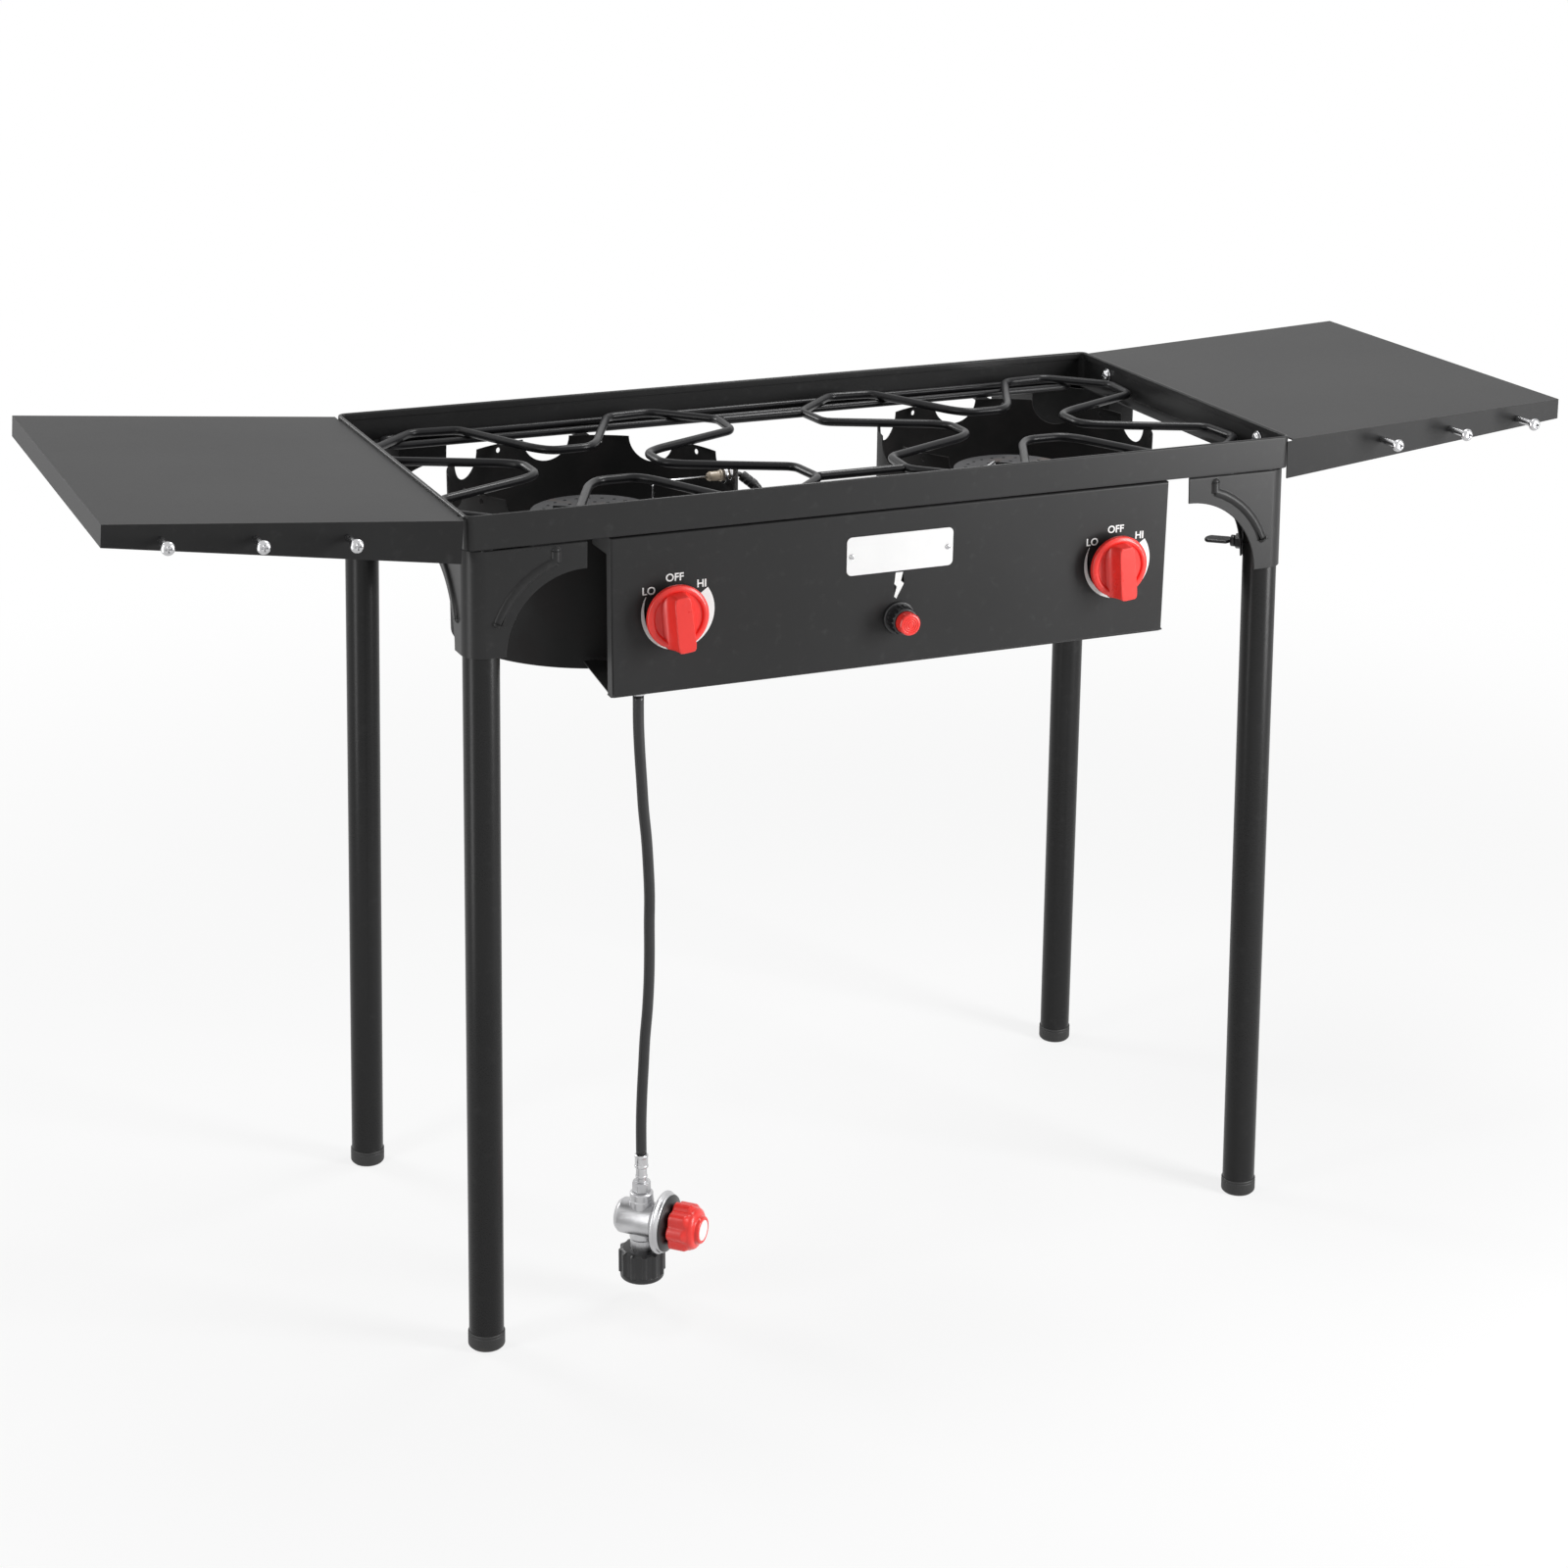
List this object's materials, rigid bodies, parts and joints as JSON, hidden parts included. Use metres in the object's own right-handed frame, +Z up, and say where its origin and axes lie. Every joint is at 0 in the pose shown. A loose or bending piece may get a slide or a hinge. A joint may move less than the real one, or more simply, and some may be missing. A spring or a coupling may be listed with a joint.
{
  "type": "propane burner stand",
  "caption": "Free-standing outdoor propane cooking stand: steel top with cast burners in windscreens, rod grate, side shelves, control panel, splayed clamp-in legs and a gas hose.",
  "frame": {"origin": "on the floor, under the middle of the cooking top", "axes": "+X along the top to the right-hand shelf, +Y to the back, +Z up; the control panel faces -Y"},
  "size_m": [1.4015, 0.4458, 0.8071],
  "materials": {
    "frame_paint": "satin black powder coat",
    "shelf_paint": "satin black powder coat",
    "leg_paint": "satin black powder coat",
    "windscreen_paint": "heat-resistant matt black paint",
    "foot_rubber": "moulded, matt",
    "black_plastic": "moulded, satin",
    "chrome": "bright plating",
    "zinc_steel": "zinc plated",
    "black_steel": "black oxide",
    "cast_iron": "cast, matt",
    "grate_enamel": "satin black enamel on steel rod",
    "badge_white": "gloss white plate, bare",
    "red_plastic": "moulded, satin gloss",
    "brass": "machined",
    "ceramic": "glazed ceramic",
    "hose_rubber": "smooth, satin",
    "zinc_casting": "die cast, satin"
  },
  "bodies": {
    "stand": {"front_rail": "frame_paint", "back_rail": "frame_paint", "left_rail": "frame_paint", "right_rail": "frame_paint", "bracket_front_left": "frame_paint", "bracket_front_right": "frame_paint", "bracket_back_left": "frame_paint", "bracket_back_right": "frame_paint", "leg_sockets": "frame_paint", "bracket_rivets": "black_steel", "left_shelf": "shelf_paint", "right_shelf": "shelf_paint", "shelf_bolts": "chrome", "shelf_washers": "chrome", "shelf_hooks": "chrome", "nuts": "zinc_steel", "left_windscreen": "windscreen_paint", "right_windscreen": "windscreen_paint", "windscreen_hangers": "frame_paint", "burner_bars": "frame_paint", "left_burner": "cast_iron", "right_burner": "cast_iron", "control_panel": "frame_paint", "badge_plate": "badge_white", "badge_screws": "chrome", "gas_valves": "brass", "manifold": "zinc_steel", "inlet_elbow": "brass", "igniter_body": "black_plastic", "igniter_nut": "black_plastic", "spark_electrodes": "ceramic", "spark_wires": "hose_rubber", "hose": "hose_rubber", "hose_ferrules": "chrome", "regulator_body": "zinc_casting", "coupling_nipple": "brass"},
    "grate": {"grate_loops": "grate_enamel", "grate_bars": "grate_enamel"},
    "leg_assembly_front_left": {"leg_front_left": "leg_paint", "foot_front_left": "foot_rubber"},
    "clamp_screw_front_left": {"wing_screw_front_left": "black_plastic"},
    "leg_assembly_front_right": {"leg_front_right": "leg_paint", "foot_front_right": "foot_rubber"},
    "clamp_screw_front_right": {"wing_screw_front_right": "black_plastic"},
    "leg_assembly_back_left": {"leg_back_left": "leg_paint", "foot_back_left": "foot_rubber"},
    "clamp_screw_back_left": {"wing_screw_back_left": "black_plastic"},
    "leg_assembly_back_right": {"leg_back_right": "leg_paint", "foot_back_right": "foot_rubber"},
    "clamp_screw_back_right": {"wing_screw_back_right": "black_plastic"},
    "left_control": {"left_knob": "red_plastic", "left_valve_stem": "brass"},
    "left_shutter": {"left_air_shutter": "zinc_steel"},
    "right_control": {"right_knob": "red_plastic", "right_valve_stem": "brass"},
    "right_shutter": {"right_air_shutter": "zinc_steel"},
    "spark_button": {"igniter_button": "red_plastic"},
    "pressure_knob": {"regulator_knob": "red_plastic"},
    "hand_nut": {"coupling_nut": "black_plastic"}
  },
  "joints": [
    {"name": "leg_slide_front_left", "type": "slide", "parent": "stand", "child": "leg_assembly_front_left", "axis": [-0.0239, -0.0209, -0.9995], "range_m": [0, 0.05]},
    {"name": "leg_slide_front_right", "type": "slide", "parent": "stand", "child": "leg_assembly_front_right", "axis": [0.0239, -0.0209, -0.9995], "range_m": [0, 0.05]},
    {"name": "leg_slide_back_left", "type": "slide", "parent": "stand", "child": "leg_assembly_back_left", "axis": [-0.0239, 0.0209, -0.9995], "range_m": [0, 0.05]},
    {"name": "leg_slide_back_right", "type": "slide", "parent": "stand", "child": "leg_assembly_back_right", "axis": [0.0239, 0.0209, -0.9995], "range_m": [0, 0.05]},
    {"name": "clamp_screw_turn_front_left", "type": "hinge", "parent": "stand", "child": "clamp_screw_front_left", "pos_m": [-0.3626, -0.16236, 0.67809], "axis": [0.7066, 0.707, -0.0317], "range_deg": [0, 720]},
    {"name": "clamp_screw_turn_front_right", "type": "hinge", "parent": "stand", "child": "clamp_screw_front_right", "pos_m": [0.3626, -0.16236, 0.67809], "axis": [-0.7066, 0.707, -0.0317], "range_deg": [0, 720]},
    {"name": "clamp_screw_turn_back_left", "type": "hinge", "parent": "stand", "child": "clamp_screw_back_left", "pos_m": [-0.3626, 0.16236, 0.67809], "axis": [0.7066, -0.707, -0.0317], "range_deg": [0, 720]},
    {"name": "clamp_screw_turn_back_right", "type": "hinge", "parent": "stand", "child": "clamp_screw_back_right", "pos_m": [0.3626, 0.16236, 0.67809], "axis": [-0.7066, -0.707, -0.0317], "range_deg": [0, 720]},
    {"name": "grate_lift", "type": "slide", "parent": "stand", "child": "grate", "axis": [0, 0, 1], "range_m": [0, 0.06]},
    {"name": "left_knob_turn", "type": "hinge", "parent": "stand", "child": "left_control", "pos_m": [-0.216, -0.2, 0.681], "axis": [0, -1, 0], "range_deg": [0, 315]},
    {"name": "right_knob_turn", "type": "hinge", "parent": "stand", "child": "right_control", "pos_m": [0.216, -0.2, 0.681], "axis": [0, -1, 0], "range_deg": [0, 315]},
    {"name": "left_shutter_turn", "type": "hinge", "parent": "stand", "child": "left_shutter", "pos_m": [-0.216, -0.141, 0.681], "axis": [0, 1, 0], "range_deg": [0, 60]},
    {"name": "right_shutter_turn", "type": "hinge", "parent": "stand", "child": "right_shutter", "pos_m": [0.216, -0.141, 0.681], "axis": [0, 1, 0], "range_deg": [0, 60]},
    {"name": "spark_button_press", "type": "slide", "parent": "stand", "child": "spark_button", "axis": [0, 1, 0], "range_m": [0, 0.006], "stiffness_N_per_m": 900},
    {"name": "pressure_knob_turn", "type": "hinge", "parent": "stand", "child": "pressure_knob", "pos_m": [-0.21396, -0.19704, 0.085], "axis": [0.7071, -0.7071, 0], "range_deg": [0, 720]},
    {"name": "hand_nut_turn", "type": "hinge", "parent": "stand", "child": "hand_nut", "pos_m": [-0.238, -0.173, 0.047], "axis": [0, 0, -1], "continuous": true}
  ]
}
